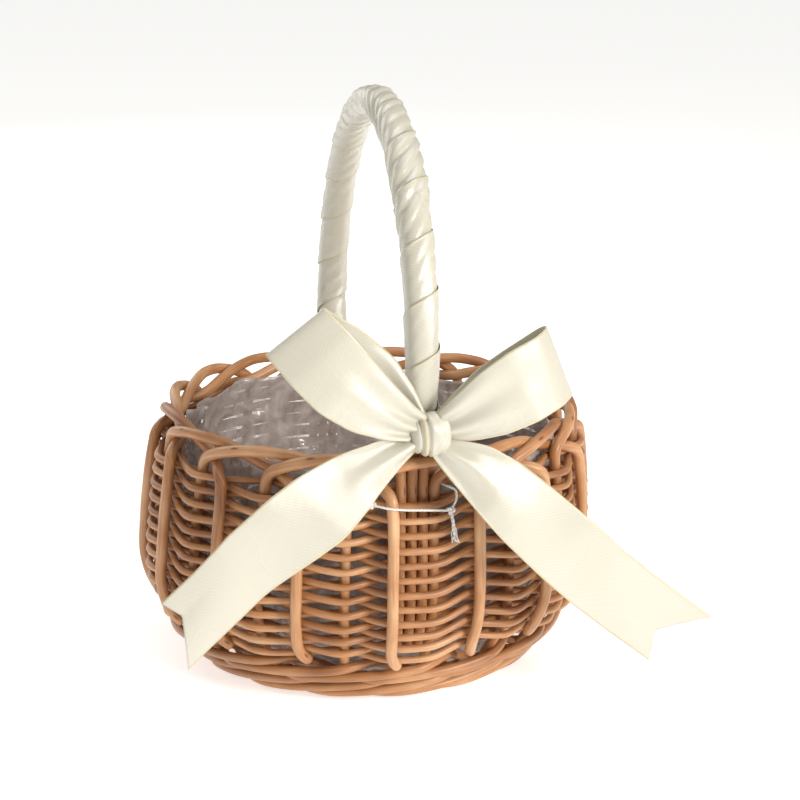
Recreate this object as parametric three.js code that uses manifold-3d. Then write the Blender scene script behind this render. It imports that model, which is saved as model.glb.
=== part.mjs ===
// A small willow flower basket with a fixed arched handle bound in satin ribbon, and a satin bow.
//
// Millimetres, +Z up. The origin is on the ground at the centre of the base. The bow is at the
// front, towards -Y, and the handle stands in the Y-Z plane. Angles round the basket are in
// degrees, measured from the front towards +X. The basket is oval: at each height its plan is
// an ellipse, wider along X than along Y by the same share.
import * as THREE from 'three';
import { mergeVertices } from 'three/addons/utils/BufferGeometryUtils.js';
import Module from 'manifold-3d';

const wasm = await Module();
wasm.setup();

// ---------------------------------------------------------------- driving dimensions
const basketWidth = 200;        // across the outer rods at the belly
const ovality = 0.92;           // depth over width
const bellyHeight = 46;         // where the wall is widest
const borderHeight = 110.9;     // centre of the highest border rod
const rimNarrowing = 6.8;       // wall radius lost from the belly to the border
const baseNarrowing = 24.5;     // wall radius lost from the belly to the ground
const baseFlare = 1.6;          // 1 for a straight lower wall, 2 for a round one

const rodDiameter = 4.2;        // stakes, and the handle's rods
const weaverDiameter = 2.8;
const waleDiameter = 3.5;       // the three long rods round the foot
const gap = 0.3;                // clearance between pieces that touch

const stakeCount = 16;
const firstStake = 4.9;         // the first stake stands just right of the handle's front foot
const rowGap = 0.3;             // between one row of weaving and the next
const lowestWeaver = 25.8;
const openwork = 0.7;           // least height from the highest row up to the border's lowest bends

const handleRise = 239.8;        // top of the handle's centreline
const legLean = 5.5;            // how far each leg leans out from the border up to the arch
const archFoot = 138;           // height where the arch starts to curve
const wrapThickness = 1.6;      // overlapping turns of ribbon

const baseThickness = 9;
const baseInset = 3.2;          // from the middle of the wall at the ground in to the base's rim
const baseStickDiameter = 3.5;

const ribbonWidth = 30;
const ribbonThickness = 0.6;
const gatheredWidth = 9;        // where it goes into the knot

const linerThickness = 0.5;
const linerTop = 103;
const linerClearance = 0.5;     // between the liner and the innermost border rods

const stringDiameter = 1;

// ---------------------------------------------------------------- sizes that follow
const rodRadius = rodDiameter / 2;
const weaverRadius = weaverDiameter / 2;
const waleRadius = waleDiameter / 2;
const stakeStep = 360 / stakeCount;
const rodPitch = rodDiameter + gap;            // two rods that lie side by side
const borderDepth = 2.9 * rodPitch;            // from the highest rod down to the lowest bends
const weaverPitch = weaverDiameter + rowGap;
const weaverCount = Math.floor((borderHeight - borderDepth - openwork - lowestWeaver) / weaverPitch) + 1;
const topWeaver = lowestWeaver + (weaverCount - 1) * weaverPitch;

// Distances from the middle of the wall: in and out to a weaver where it passes a stake, out to the
// outer rods, and out to those beside the handle, which lie over weavers that pass outside it.
const insideSwing = 1.18 * (rodRadius + weaverRadius) + 0.8 * gap;
const outsideSwing = insideSwing + gap / 2;
const outerSwing = rodRadius + weaverRadius + 5 * gap;
const outerSwingAtHandle = outsideSwing + weaverRadius + rodRadius + gap;

const bellyRadius = basketWidth / 2 - outerSwing - rodRadius;
const stickStep = 1.04 * THREE.MathUtils.radToDeg(rodPitch / bellyRadius);
const handleSticks = [3, 2, 1].map((n) => firstStake - n * stickStep);
const stickMiddle = handleSticks[1];

// How far the border opens at the handle, in rod pitches, and how far in the liner stands from the wall.
const borderParting = { outward: 1.18, inward: 0.33 };
const linerSlack = (1 + borderParting.inward) * rodPitch + rodRadius + linerClearance;
const front = 0;
const back = 180;

const { degToRad, clamp, lerp, smoothstep } = THREE.MathUtils;

// Radius of the middle of the wall along X: two curves that meet at the belly.
function wallRadius(z) {
  if (z < bellyHeight) return bellyRadius - baseNarrowing * ((bellyHeight - z) / bellyHeight) ** baseFlare;
  return bellyRadius - rimNarrowing * ((z - bellyHeight) / (borderHeight - bellyHeight)) ** 2;
}

// Heights for a rod that follows the wall, closer together where the wall curves most.
function climb(low, high) {
  return [0, 0.1, 0.22, 0.36, 0.52, 0.74, 1].map((share) => lerp(low, high, share));
}

// A point at an angle and a height, `out` millimetres outside the middle of the wall.
function wallPoint(angle, z, out = 0, radius = wallRadius(z)) {
  const s = Math.sin(degToRad(angle));
  const c = Math.cos(degToRad(angle));
  const n = new THREE.Vector2(ovality * s, -c).normalize();
  return new THREE.Vector3(radius * s + out * n.x, -ovality * radius * c + out * n.y, z);
}

// The signed difference between two angles, from -180 to 180.
function turn(angle, from) {
  return THREE.MathUtils.euclideanModulo(angle - from + 180, 360) - 180;
}

// 1 beside the handle's sticks, at the front and the back, falling to 0 over `reach` degrees.
function nearHandle(angle, reach) {
  const away = [front, back].map((foot) => Math.abs(turn(angle, stickMiddle + foot)));
  return 1 - smoothstep(Math.min(...away), reach * 0.45, reach);
}

// ---------------------------------------------------------------- making solids
const willow = new THREE.MeshStandardMaterial({ color: 0xb07a4f, roughness: 0.6, metalness: 0 });
const paleWillow = new THREE.MeshStandardMaterial({ color: 0xc08a5c, roughness: 0.6, metalness: 0 });
const satin = new THREE.MeshStandardMaterial({ color: 0xe6e2d0, roughness: 0.35, metalness: 0 });
const film = new THREE.MeshStandardMaterial({ color: 0xd8d6d4, roughness: 0.15, metalness: 0, opacity: 0.4 });
const cotton = new THREE.MeshStandardMaterial({ color: 0xe9e9e6, roughness: 0.9, metalness: 0 });

const basket = new THREE.Group();

// A path through points, whose stations fall on the points themselves.
class RodPath extends THREE.Curve {
  constructor(points) {
    super();
    this.points = points;
  }
  getPoint(t, target = new THREE.Vector3()) {
    const at = t * (this.points.length - 1);
    const i = clamp(Math.floor(at), 0, this.points.length - 2);
    return target.lerpVectors(this.points[i], this.points[i + 1], at - i);
  }
  getUtoTmapping(u) {
    return u;
  }
}

// A round section with flats at its top and bottom when it runs level.
function roundSection(diameter, sides) {
  const shape = new THREE.Shape();
  for (let i = 0; i < sides; i++) {
    const a = ((i + 0.5) * 2 * Math.PI) / sides;
    const x = (diameter / 2) * Math.cos(a);
    const y = (diameter / 2) * Math.sin(a);
    if (i === 0) shape.moveTo(x, y);
    else shape.lineTo(x, y);
  }
  shape.closePath();
  return shape;
}

function sweep(section, points) {
  const extrudePath = new RodPath(points);
  return new THREE.ExtrudeGeometry(section, { steps: points.length - 1, extrudePath, bevelEnabled: false });
}

function add(name, geometry, material) {
  const mesh = new THREE.Mesh(geometry, material);
  mesh.name = name;
  basket.add(mesh);
  return mesh;
}

function addRod(name, points, diameter, material = willow, sides = 6) {
  return add(name, sweep(roundSection(diameter, sides), points), material);
}

function toSolid(geometry) {
  const bare = geometry.clone().deleteAttribute('normal').deleteAttribute('uv');
  const merged = mergeVertices(bare, 1e-4);
  return new wasm.Manifold(new wasm.Mesh({
    numProp: 3,
    vertProperties: merged.attributes.position.array,
    triVerts: new Uint32Array(merged.index.array),
  }));
}

function toGeometry(solid) {
  const mesh = solid.getMesh();
  return new THREE.BufferGeometry()
    .setAttribute('position', new THREE.BufferAttribute(mesh.vertProperties, 3))
    .setIndex(new THREE.BufferAttribute(mesh.triVerts, 1));
}

// Points along a smooth curve through rows of numbers, which `place` turns into points in space.
function smoothPath(rows, steps, place) {
  const places = rows.map((row) => new THREE.Vector3(...row));
  const curve = new THREE.CatmullRomCurve3(places, false, 'centripetal');
  return curve.getPoints(steps).map((p) => place(p.x, p.y, p.z));
}

// ---------------------------------------------------------------- stakes
// Each stake is one willow rod. It lies in the base, turns up the wall, runs to the right along
// the border over two neighbours, comes out and down over the weave, and is tucked in at the foot.
const baseRadius = wallRadius(0) - baseInset;
const stakeButt = baseRadius - 10;             // where a stake starts, inside the base
const baseRodHeight = 5.4;

// The border: [stake spaces to the right, rod pitches below the highest rod, rod pitches out]
const borderRun = [
  [0.0, 2.3, 0.02],
  [0.06, 1.64, 0.18],
  [0.33, 0.76, 0.51],
  [0.65, 0.16, 0.44],
  [1.0, 0.0, 0.07],
  [1.35, 0.31, -0.51],
  [1.65, 0.93, -0.78],
  [2.0, 1.76, -1.0],
  [2.16, 2.04, -0.58],
  [2.28, 2.2, 0.11],
  [2.4, 2.6, 0.87],
];
const borderSteps = 14;
const foldOver = 2.5;           // stake spaces from a stake to the place where it comes down
const tuckHeight = 26.4;

function borderPoint(stakeAngle, spaces, below, out) {
  const angle = stakeAngle + spaces * stakeStep;
  const parting = spaces < 1.3 ? borderParting.outward : -borderParting.inward;
  const opened = spaces > 0.3 ? out + parting * nearHandle(angle, 15) : out;
  return wallPoint(angle, borderHeight - below * rodPitch, opened * rodPitch);
}

function stakePath(stakeAngle) {
  const outerAngle = stakeAngle + foldOver * stakeStep;
  const fromHandle = [front, back].map((foot) => Math.abs(turn(outerAngle, stickMiddle + foot)));
  const besideHandle = Math.min(...fromHandle) < stakeStep / 2;
  const outerOut = besideHandle ? outerSwingAtHandle : outerSwing;
  const tuck = besideHandle ? 0 : 1.8;
  const points = [
    wallPoint(stakeAngle, baseRodHeight, 0, stakeButt),
    wallPoint(stakeAngle, baseRodHeight, 0, baseRadius + 2.5),
    wallPoint(stakeAngle, baseRodHeight + 2.8),
  ];
  for (const z of climb(13, borderHeight - 3.1 * rodPitch)) points.push(wallPoint(stakeAngle, z));
  points.push(...smoothPath(borderRun, borderSteps, (...place) => borderPoint(stakeAngle, ...place)));
  points.push(wallPoint(outerAngle - 0.6, borderHeight - borderDepth, outerOut - 0.2));
  const outerHeights = climb(tuckHeight + 4, borderHeight - 5 * rodPitch).reverse();
  for (const z of outerHeights) points.push(wallPoint(outerAngle, z, outerOut));
  points.push(wallPoint(outerAngle + 0.6, tuckHeight, outerOut - tuck / 3));
  points.push(wallPoint(outerAngle + 2.4, tuckHeight - 2.4, outerOut - tuck));
  return points;
}

const stakeAngles = Array.from({ length: stakeCount }, (_, i) => firstStake + i * stakeStep);
const number = (i) => String(i + 1).padStart(2, '0');
stakeAngles.forEach((angle, i) => addRod(`stake_${number(i)}`, stakePath(angle), rodDiameter, paleWillow));

// ---------------------------------------------------------------- weavers
// Each row is one rod that goes outside one stake and inside the next, and its ends meet behind a
// stake. At the handle a row takes the three sticks and the stake beside them as one.
const endGap = 0.5;             // degrees between a weaver's end and the middle of the stake

function weaverPath(row) {
  const z = lowestWeaver + row * weaverPitch;
  const swing = (i) => ((i + row) % 2 === 0 ? outsideSwing : -insideSwing);
  const start = row % 2 === 0 ? 5 : 4;       // a stake that this row passes inside
  const points = [wallPoint(stakeAngles[start] + endGap, z, -insideSwing)];
  for (let n = start + 1; n <= start + stakeCount; n++) {
    const angle = stakeAngles[0] + n * stakeStep;
    const atHandle = n % (stakeCount / 2) === 0;
    if (atHandle) points.push(wallPoint(angle - 3.65 * stickStep, z, swing(n)));
    points.push(wallPoint(angle - (n === start + stakeCount ? endGap : 0), z, swing(n)));
  }
  return points;
}

for (let row = 0; row < weaverCount; row++) addRod(`weaver_${number(row)}`, weaverPath(row), weaverDiameter);

// ---------------------------------------------------------------- foot
// Three long rods run round the foot, outside the stakes, one after another in one rising spiral of
// five rounds. The lowest round stands on the ground, tucked in under the stakes.
const waleSteps = 32;           // in one round
const waleFlat = waleRadius * Math.cos(Math.PI / 6);
const walePitch = waleDiameter + gap;
const waleOut = rodRadius + waleRadius + 4 * gap;
const groundOut = 2.6;
const waleRounds = [0, 2, 4, 5];               // where each rod starts, and where the last one ends

function walePoint(round) {
  const z = waleFlat + round * walePitch;
  const out = lerp(groundOut, waleOut, smoothstep(z, waleFlat, waleFlat + 1.2 * walePitch));
  return wallPoint(back + round * 360, z, out);
}

for (let n = 0; n + 1 < waleRounds.length; n++) {
  const points = [];
  const steps = (waleRounds[n + 1] - waleRounds[n]) * waleSteps;
  for (let i = 0; i <= steps; i++) {
    const shift = i === 0 ? 0.001 : i === steps ? -0.001 : 0;
    points.push(walePoint(waleRounds[n] + i / waleSteps + shift));
  }
  addRod(`foot_wale_${n + 1}`, points, waleDiameter);
}

// ---------------------------------------------------------------- base
// Two pairs of sticks cross in the middle of a woven disc. Sticks and stakes lie in it.
const stickSpread = 4.6;
const crossAngle = firstStake + stakeStep / 2;

function baseStickPoints(direction, side, height, reach) {
  const along = wallPoint(direction, 0, 0, 1).setZ(0).normalize();
  const across = new THREE.Vector3(-along.y, along.x, 0).multiplyScalar(side * stickSpread);
  return [-reach, reach].map((d) => along.clone().multiplyScalar(d).add(across).setZ(height));
}

const lowStickHeight = 0.5 + baseStickDiameter / 2 + gap;
const highStickHeight = lowStickHeight + baseStickDiameter + gap;
const stickReach = ovality * baseRadius - 4;
const baseSticks = [
  [crossAngle, -1, lowStickHeight],
  [crossAngle, 1, lowStickHeight],
  [crossAngle + 90, -1, highStickHeight],
  [crossAngle + 90, 1, highStickHeight],
];
baseSticks.forEach(([direction, side, height], i) => {
  const points = baseStickPoints(direction, side, height, stickReach);
  addRod(`base_stick_${i + 1}`, points, baseStickDiameter, paleWillow);
});

const disc = new THREE.CylinderGeometry(baseRadius, baseRadius - 1.5, baseThickness, 32);
disc.rotateX(Math.PI / 2).scale(1, ovality, 1).translate(0, 0, baseThickness / 2);
let baseSolid = toSolid(disc);
const stickBore = roundSection(baseStickDiameter + 3 * gap, 6);
const stakeBore = roundSection(rodDiameter + 3 * gap, 6);
for (const [direction, side, height] of baseSticks) {
  const bore = sweep(stickBore, baseStickPoints(direction, side, height, baseRadius + 6));
  baseSolid = baseSolid.subtract(toSolid(bore));
}
for (const angle of stakeAngles) {
  const ends = [stakeButt - 1, baseRadius + 6].map((r) => wallPoint(angle, baseRodHeight, 0, r));
  baseSolid = baseSolid.subtract(toSolid(sweep(stakeBore, ends)));
}
add('base_weave', toGeometry(baseSolid), willow);

// ---------------------------------------------------------------- handle
// Three rods are woven into the wall at both ends, and a fourth, cut off above the border, fills
// the bundle out. Over the border they close up into a square, which the ribbon wraps.
const bundleSpread = (rodDiameter + gap) / 2;
const bundleRadius = bundleSpread * Math.SQRT2 + rodRadius;
const wrapInner = bundleRadius + gap;
const wrapOuter = wrapInner + wrapThickness;
const bundleStart = borderHeight + 2.55 * rodPitch;
const footReach = ovality * wallRadius(borderHeight) + 0.7;
const handleReach = footReach + legLean;
const archSteps = 14;

// The front leg's distance from the middle. It leans out a little from the border to the arch.
const legReach = (z) => lerp(footReach, handleReach, (z - borderHeight) / (archFoot - borderHeight));

// The arch's centreline, from the front to the back.
function archStations() {
  const leg = (z) => ({ y: -legReach(z), z, tilt: 0 });
  const stations = [leg(bundleStart), leg(lerp(bundleStart, archFoot, 0.5))];
  for (let i = 0; i <= archSteps; i++) {
    const a = (i * Math.PI) / archSteps;
    stations.push({
      y: -handleReach * Math.cos(a),
      z: archFoot + (handleRise - archFoot) * Math.sin(a),
      tilt: Math.atan2(Math.sin(a) * handleReach, Math.cos(a) * (handleRise - archFoot)),
    });
  }
  const mirrored = stations.slice(0, 2).reverse().map(({ y, z }) => ({ y: -y, z, tilt: Math.PI }));
  return [...stations, ...mirrored];
}

// A point of the bundle: `across` along X, `out` away from the inside of the arch.
function bundlePoint({ y, z, tilt }, across, out) {
  return new THREE.Vector3(across, y - out * Math.cos(tilt), z + out * Math.sin(tilt));
}

const arch = archStations();

// One end of a woven rod, from its tip in the weave up through the border to the bundle.
function stickEnd(angle, foot, closing) {
  const sign = foot === front ? -1 : 1;
  const points = climb(stickTip, borderHeight - 2.8 * rodPitch).map((z) => wallPoint(angle + foot, z));
  closing.forEach(([across, out], i) => {
    const z = borderHeight + closingHeights[i] * rodPitch;
    points.push(new THREE.Vector3(across * rodPitch, sign * (legReach(z) + out * rodPitch), z));
  });
  return points;
}

// Where the rods close up over the border, in rod pitches: [along X, out from the leg's middle]
const stickTip = 30;
const closingHeights = [-0.67, 0.58, 1.42];
const handleRods = [
  {
    bundle: [-1, -1],
    front: [[-1.24, -0.13], [-1.09, -0.27], [-0.8, -0.44]],
    back: [[-0.8, -0.13], [-0.93, -0.27], [-0.75, -0.44]],
  },
  {
    bundle: [-1, 1],
    front: [[-0.2, 0.07], [-0.13, 0.22], [-0.31, 0.49]],
    back: [[0.22, 0.07], [0.07, 0.22], [-0.29, 0.49]],
  },
  {
    bundle: [1, 1],
    front: [[0.84, -0.04], [0.87, 0.2], [0.69, 0.4]],
    back: [[1.24, -0.04], [1.07, 0.2], [0.73, 0.4]],
  },
];
handleRods.forEach((rod, i) => {
  const frontEnd = stickEnd(handleSticks[i], front, rod.front);
  const backEnd = stickEnd(handleSticks[2 - i], back, rod.back);
  const [across, out] = rod.bundle.map((side) => side * bundleSpread);
  const over = arch.map((station) => bundlePoint(station, across, out));
  addRod(`handle_rod_${i + 1}`, [...frontEnd, ...over, ...backEnd.reverse()], rodDiameter);
});
const core = arch.slice(1, -1).map((station) => bundlePoint(station, bundleSpread, -bundleSpread));
addRod('handle_core', core, rodDiameter);

const sleeveSides = 10;
const sleeve = roundSection(2 * wrapOuter, sleeveSides);
const sleeveBore = roundSection(2 * wrapInner / Math.cos(Math.PI / sleeveSides), sleeveSides);
sleeve.holes.push(new THREE.Path(sleeveBore.getPoints().reverse()));
add('handle_wrap', sweep(sleeve, arch.map((station) => bundlePoint(station, 0, 0))), satin);

// ---------------------------------------------------------------- bow
// The bow is tied round the front leg of the handle, just above the border. Each loop and tail is
// made lying along +X with its face up, gathered towards the knot, and is then turned into place.
const knotHeight = 14;
const knotBottom = borderHeight + rodRadius + 4.1;
const knotMiddle = knotBottom + knotHeight / 2;
const legY = -legReach(knotMiddle);
const knotFront = legY - wrapOuter - 6.5;
const knotRadius = wrapOuter + 6 * gap;

const knotShape = new THREE.Shape();
knotShape.absarc(0, 0, knotRadius + 1.4, degToRad(-50), degToRad(230), false);
knotShape.lineTo(-4.2, knotFront - legY - 0.8);
knotShape.lineTo(0, knotFront - legY - 2.6);
knotShape.lineTo(4.2, knotFront - legY - 0.8);
knotShape.closePath();
const knotHole = new THREE.Path();
knotHole.absarc(0, 0, knotRadius, 0, 2 * Math.PI, true);
knotShape.holes.push(knotHole);
const knotOptions = { depth: knotHeight, bevelEnabled: false, curveSegments: 8 };
const knot = new THREE.ExtrudeGeometry(knotShape, knotOptions);
knot.translate(0, legY, knotBottom);
add('bow_knot', knot, satin);

function ribbonSection() {
  const shape = new THREE.Shape();
  shape.moveTo(-ribbonWidth / 2, -ribbonThickness / 2);
  shape.lineTo(ribbonWidth / 2, -ribbonThickness / 2);
  shape.lineTo(ribbonWidth / 2, ribbonThickness / 2);
  shape.lineTo(-ribbonWidth / 2, ribbonThickness / 2);
  shape.closePath();
  return shape;
}

// A ribbon that follows [along, up] places, and widens from the knot to its full width at `full`.
function ribbon(places, steps, full) {
  const flat = places.map(([x, up]) => [x, 0, up]);
  const points = smoothPath(flat, steps, (...place) => new THREE.Vector3(...place));
  const geometry = sweep(ribbonSection(), points);
  const position = geometry.attributes.position;
  for (let i = 0; i < position.count; i++) {
    const share = smoothstep(position.getX(i), 0, full);
    position.setY(i, position.getY(i) * lerp(gatheredWidth / ribbonWidth, 1, share));
  }
  return geometry;
}

// Turns a ribbon lying along +X so that it faces the front and leaves the knot at `rise` degrees
// above +X, swung `forward` degrees to the front.
function placeRibbon(name, geometry, rise, forward) {
  const turned = new THREE.Group();
  turned.position.set(0, knotFront, knotMiddle);
  turned.rotation.set(Math.PI / 2, -degToRad(rise), 0, 'YXZ');
  const mesh = new THREE.Mesh(geometry, satin);
  mesh.name = name;
  mesh.rotation.y = -degToRad(forward);
  turned.add(mesh);
  basket.add(turned);
}

const tailStart = 10.4;
const loopStart = 9.8;
const loopPlaces = (length, depth) => [
  [loopStart, 0.9],
  [length * 0.3, depth * 0.62],
  [length * 0.7, depth],
  [length * 0.95, depth * 0.62],
  [length, 0],
  [length * 0.93, -depth * 0.6],
  [length * 0.6, -depth * 0.75],
  [length * 0.3, -depth * 0.5],
  [loopStart, -0.9],
];
const tailPlaces = (length, lift) => [
  [tailStart, 0],
  [length * 0.28, lift * 0.3],
  [length * 0.6, lift],
  [length, lift * 1.15],
];

function notched(geometry, length, deep) {
  const vee = new THREE.Shape();
  vee.moveTo(length - deep, 0);
  vee.lineTo(length + 5, -ribbonWidth / 2 - 1);
  vee.lineTo(length + 5, ribbonWidth / 2 + 1);
  vee.closePath();
  const wedge = new THREE.ExtrudeGeometry(vee, { depth: 120, bevelEnabled: false }).translate(0, 0, -60);
  return toGeometry(toSolid(geometry).subtract(toSolid(wedge)));
}

const leftLoop = 65;
const rightLoop = 57;
const leftTail = 129;
const rightTail = 134;
const notchDepth = 13;
const loopDepth = 10;
const loopFull = 40;
const tailLift = 16;
const tailFull = 55;
const tailSwing = 4;
const loop = (length) => ribbon(loopPlaces(length, loopDepth), 16, loopFull);
const tail = (length) => notched(ribbon(tailPlaces(length, tailLift), 10, tailFull), length, notchDepth);
placeRibbon('bow_loop_left', loop(leftLoop), 144, 0);
placeRibbon('bow_loop_right', loop(rightLoop), 28, 0);
placeRibbon('bow_tail_left', tail(leftTail), 220, tailSwing);
placeRibbon('bow_tail_right', tail(rightTail), -40, tailSwing);

// ---------------------------------------------------------------- liner
// A clear plastic film bag stands inside the basket, up to the border.
const linerBottom = baseThickness + 2 * gap;
const linerHeights = [linerBottom, 18, 32, bellyHeight, 76, linerTop];
const linerOuter = linerHeights.map((z) => new THREE.Vector2(wallRadius(z) - linerSlack, z));
linerOuter[0].x -= 5;
const linerInner = linerOuter.map((p) => new THREE.Vector2(p.x - linerThickness, p.y));
linerInner[0].y += linerThickness;
const linerProfile = [
  new THREE.Vector2(0, linerBottom),
  ...linerOuter,
  ...linerInner.reverse(),
  new THREE.Vector2(0, linerBottom + linerThickness),
];
const liner = new THREE.LatheGeometry(linerProfile, 28);
liner.rotateX(Math.PI / 2);
const linerOvality = (ovality * bellyRadius - linerSlack) / (bellyRadius - linerSlack);
liner.scale(1, linerOvality - 0.004, 1);
add('liner', liner, film);

// ---------------------------------------------------------------- liner tie
// A white string comes out over the top row on each side of an outer rod, and is knotted there.
const stringOut = outerSwingAtHandle + rodRadius + stringDiameter / 2 + gap;
const slotHeight = topWeaver + weaverRadius + 0.75;
const tieRoute = [
  [-20.6, slotHeight + 0.1, -insideSwing - 3.2],
  [-20.6, slotHeight + 0.1, 0],
  [-20.4, slotHeight, 4.6],
  [-18.6, slotHeight - 1.4, 7.4],
  [-14.8, slotHeight - 3.6, 8.4],
  [-11.4, slotHeight - 5.2, 8.2],
  [-8.6, slotHeight - 5.4, stringOut - 0.3],
  [-6.35, slotHeight - 5.6, stringOut + 0.1],
  [-3.6, slotHeight - 6.0, stringOut - 0.7],
  [2.0, slotHeight - 6.6, 8.4],
  [7.6, slotHeight - 7.0, 7.2],
  [9.2, slotHeight - 3.4, 7.4],
  [9.4, slotHeight - 0.6, 6.6],
  [8.2, slotHeight, 4.6],
  [7.0, slotHeight, 0],
  [7.0, slotHeight, -insideSwing - 3.2],
];
const tiePlace = ([angle, z, out]) => wallPoint(angle, z, out);
const strand = (rows, diameter) => toSolid(sweep(roundSection(diameter, 6), rows.map(tiePlace)));
const knotBall = (row, diameter) => {
  const { x, y, z } = tiePlace(row);
  return toSolid(new THREE.IcosahedronGeometry(diameter / 2, 1).translate(x, y, z));
};
const leftKnot = [-11.4, slotHeight - 5.2, 8.2];
const rightKnot = [7.6, slotHeight - 7.0, 7.2];
let tie = strand(tieRoute, stringDiameter);
tie = tie.add(knotBall(leftKnot, 2.6)).add(knotBall(rightKnot, 3.2));
tie = tie.add(strand([leftKnot, [-14.4, slotHeight - 7.6, 8.6], [-17.2, slotHeight - 10.2, 8.2]], 1.6));
tie = tie.add(strand([rightKnot, [8.2, slotHeight - 13, 7.4], [9.4, slotHeight - 20, 7.2]], 1.8));
add('liner_tie', toGeometry(tie), cotton);

export default basket;
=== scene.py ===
import math
import bpy
import numpy as np
from mathutils import Matrix, Vector


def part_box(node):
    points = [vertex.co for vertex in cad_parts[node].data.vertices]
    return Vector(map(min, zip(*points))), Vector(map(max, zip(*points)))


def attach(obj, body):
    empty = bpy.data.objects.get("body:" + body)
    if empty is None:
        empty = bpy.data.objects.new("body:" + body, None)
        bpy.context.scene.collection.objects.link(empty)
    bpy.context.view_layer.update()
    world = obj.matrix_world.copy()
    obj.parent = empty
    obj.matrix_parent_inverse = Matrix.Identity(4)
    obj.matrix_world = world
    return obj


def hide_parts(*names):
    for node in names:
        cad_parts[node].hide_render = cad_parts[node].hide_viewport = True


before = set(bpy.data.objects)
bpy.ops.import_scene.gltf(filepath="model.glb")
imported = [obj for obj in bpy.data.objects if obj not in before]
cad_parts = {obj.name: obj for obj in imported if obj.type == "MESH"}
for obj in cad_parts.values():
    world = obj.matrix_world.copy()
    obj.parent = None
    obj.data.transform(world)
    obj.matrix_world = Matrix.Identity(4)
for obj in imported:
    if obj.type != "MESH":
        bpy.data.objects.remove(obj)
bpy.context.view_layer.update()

# Shapes are worked out in millimetres and become metres in buildMesh. The ground is at zero height,
# the bow faces -Y, and angles round the basket run in degrees from the front towards +X.
scene = bpy.context.scene
chance = np.random.default_rng(11)
upwards = np.array([0, 0, 1.0])
sideways = np.array([1.0, 0, 0])

# The camera looks at a point on the basket's middle line and is then moved right and up.
camera = dict(elevation=16.73, azimuth=-14.28, distance=842.4, lens=85.5,
              lookHeight=60, right=12.85, up=48.73, roll=1.81)


def makeCamera():
    e, a = math.radians(camera["elevation"]), math.radians(camera["azimuth"])
    back = Vector((math.sin(a) * math.cos(e), -math.cos(a) * math.cos(e), math.sin(e)))
    right = Vector((math.cos(a), math.sin(a), 0))
    up = back.cross(right)
    place = Vector((0, 0, camera["lookHeight"])) + back * camera["distance"]
    place += right * camera["right"] + up * camera["up"]
    turned = Matrix((right, up, back)).transposed().to_4x4()
    turned = turned @ Matrix.Rotation(math.radians(camera["roll"]), 4, "Z")
    made = bpy.data.objects.new("camera", bpy.data.cameras.new("camera"))
    made.data.lens = camera["lens"]
    made.data.sensor_width = 36
    made.data.clip_start, made.data.clip_end = 0.05, 40
    made.matrix_world = Matrix.Translation(place * 0.001) @ turned
    scene.collection.objects.link(made)
    scene.camera = made
    # keeps the ribbon's ivory and the willow's orange as they are
    scene.view_settings.view_transform = "Standard"


def linear(hexColour):
    # sRGB hex to the linear colour a shader works in
    part = np.array([int(hexColour[i:i + 2], 16) for i in (1, 3, 5)]) / 255
    part = np.where(part <= 0.04045, part / 12.92, ((part + 0.055) / 1.055) ** 2.4)
    return (*part.tolist(), 1.0)


def addNode(tree, kind, sockets=None, **settings):
    # one node with its settings; a socket is given a value, or another node's output to link to
    made = tree.nodes.new("ShaderNode" + kind)
    for name, value in settings.items():
        setattr(made, name, value)
    for name, value in (sockets or {}).items():
        if isinstance(value, bpy.types.NodeSocket):
            tree.links.new(value, made.inputs[name])
        else:
            made.inputs[name].default_value = value
    return made


# Soft boxes, in watts and millimetres: the key gives the satin its broad shine.
lights = [
    dict(name="key", place=(600, -880, 500), aim=(0, 0, 90), size=300, power=9.5, colour="#FFFBF5"),
    dict(name="top", place=(60, -60, 1100), aim=(0, 0, 60), size=700, power=4.2, colour="#FFFFFF"),
    dict(name="fill", place=(-800, -500, 420), aim=(0, 0, 90), size=800, power=0.4, colour="#F4F7FF"),
    dict(name="rear", place=(-500, 1000, 620), aim=(0, 0, 90), size=800, power=4.0, colour="#FFFBF5"),
]
surround = dict(colour="#FCFAF6", strength=0.34)


def makeLights():
    for row in lights:
        data = bpy.data.lights.new(row["name"], "AREA")
        data.shape = "SQUARE"
        data.size = row["size"] * 0.001
        data.energy = row["power"]
        data.color = linear(row["colour"])[:3]
        lamp = bpy.data.objects.new(row["name"], data)
        place, aim = Vector(row["place"]) * 0.001, Vector(row["aim"]) * 0.001
        facing = (place - aim).to_track_quat("Z", "Y").to_matrix().to_4x4()
        lamp.matrix_world = Matrix.Translation(place) @ facing
        scene.collection.objects.link(lamp)
    world = bpy.data.worlds.new("studio")
    world.use_nodes = True
    tree = world.node_tree
    tree.nodes.clear()
    sky = addNode(tree, "Background", {"Color": linear(surround["colour"]), "Strength": surround["strength"]})
    out = addNode(tree, "OutputWorld")
    tree.links.new(sky.outputs["Background"], out.inputs["Surface"])
    scene.world = world


def startMaterial(name):
    made = bpy.data.materials.new(name)
    made.use_nodes = True
    made.node_tree.nodes.clear()
    return made, made.node_tree


def finishMaterial(tree, shader):
    out = addNode(tree, "OutputMaterial")
    tree.links.new(shader.outputs[0], out.inputs["Surface"])


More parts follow.
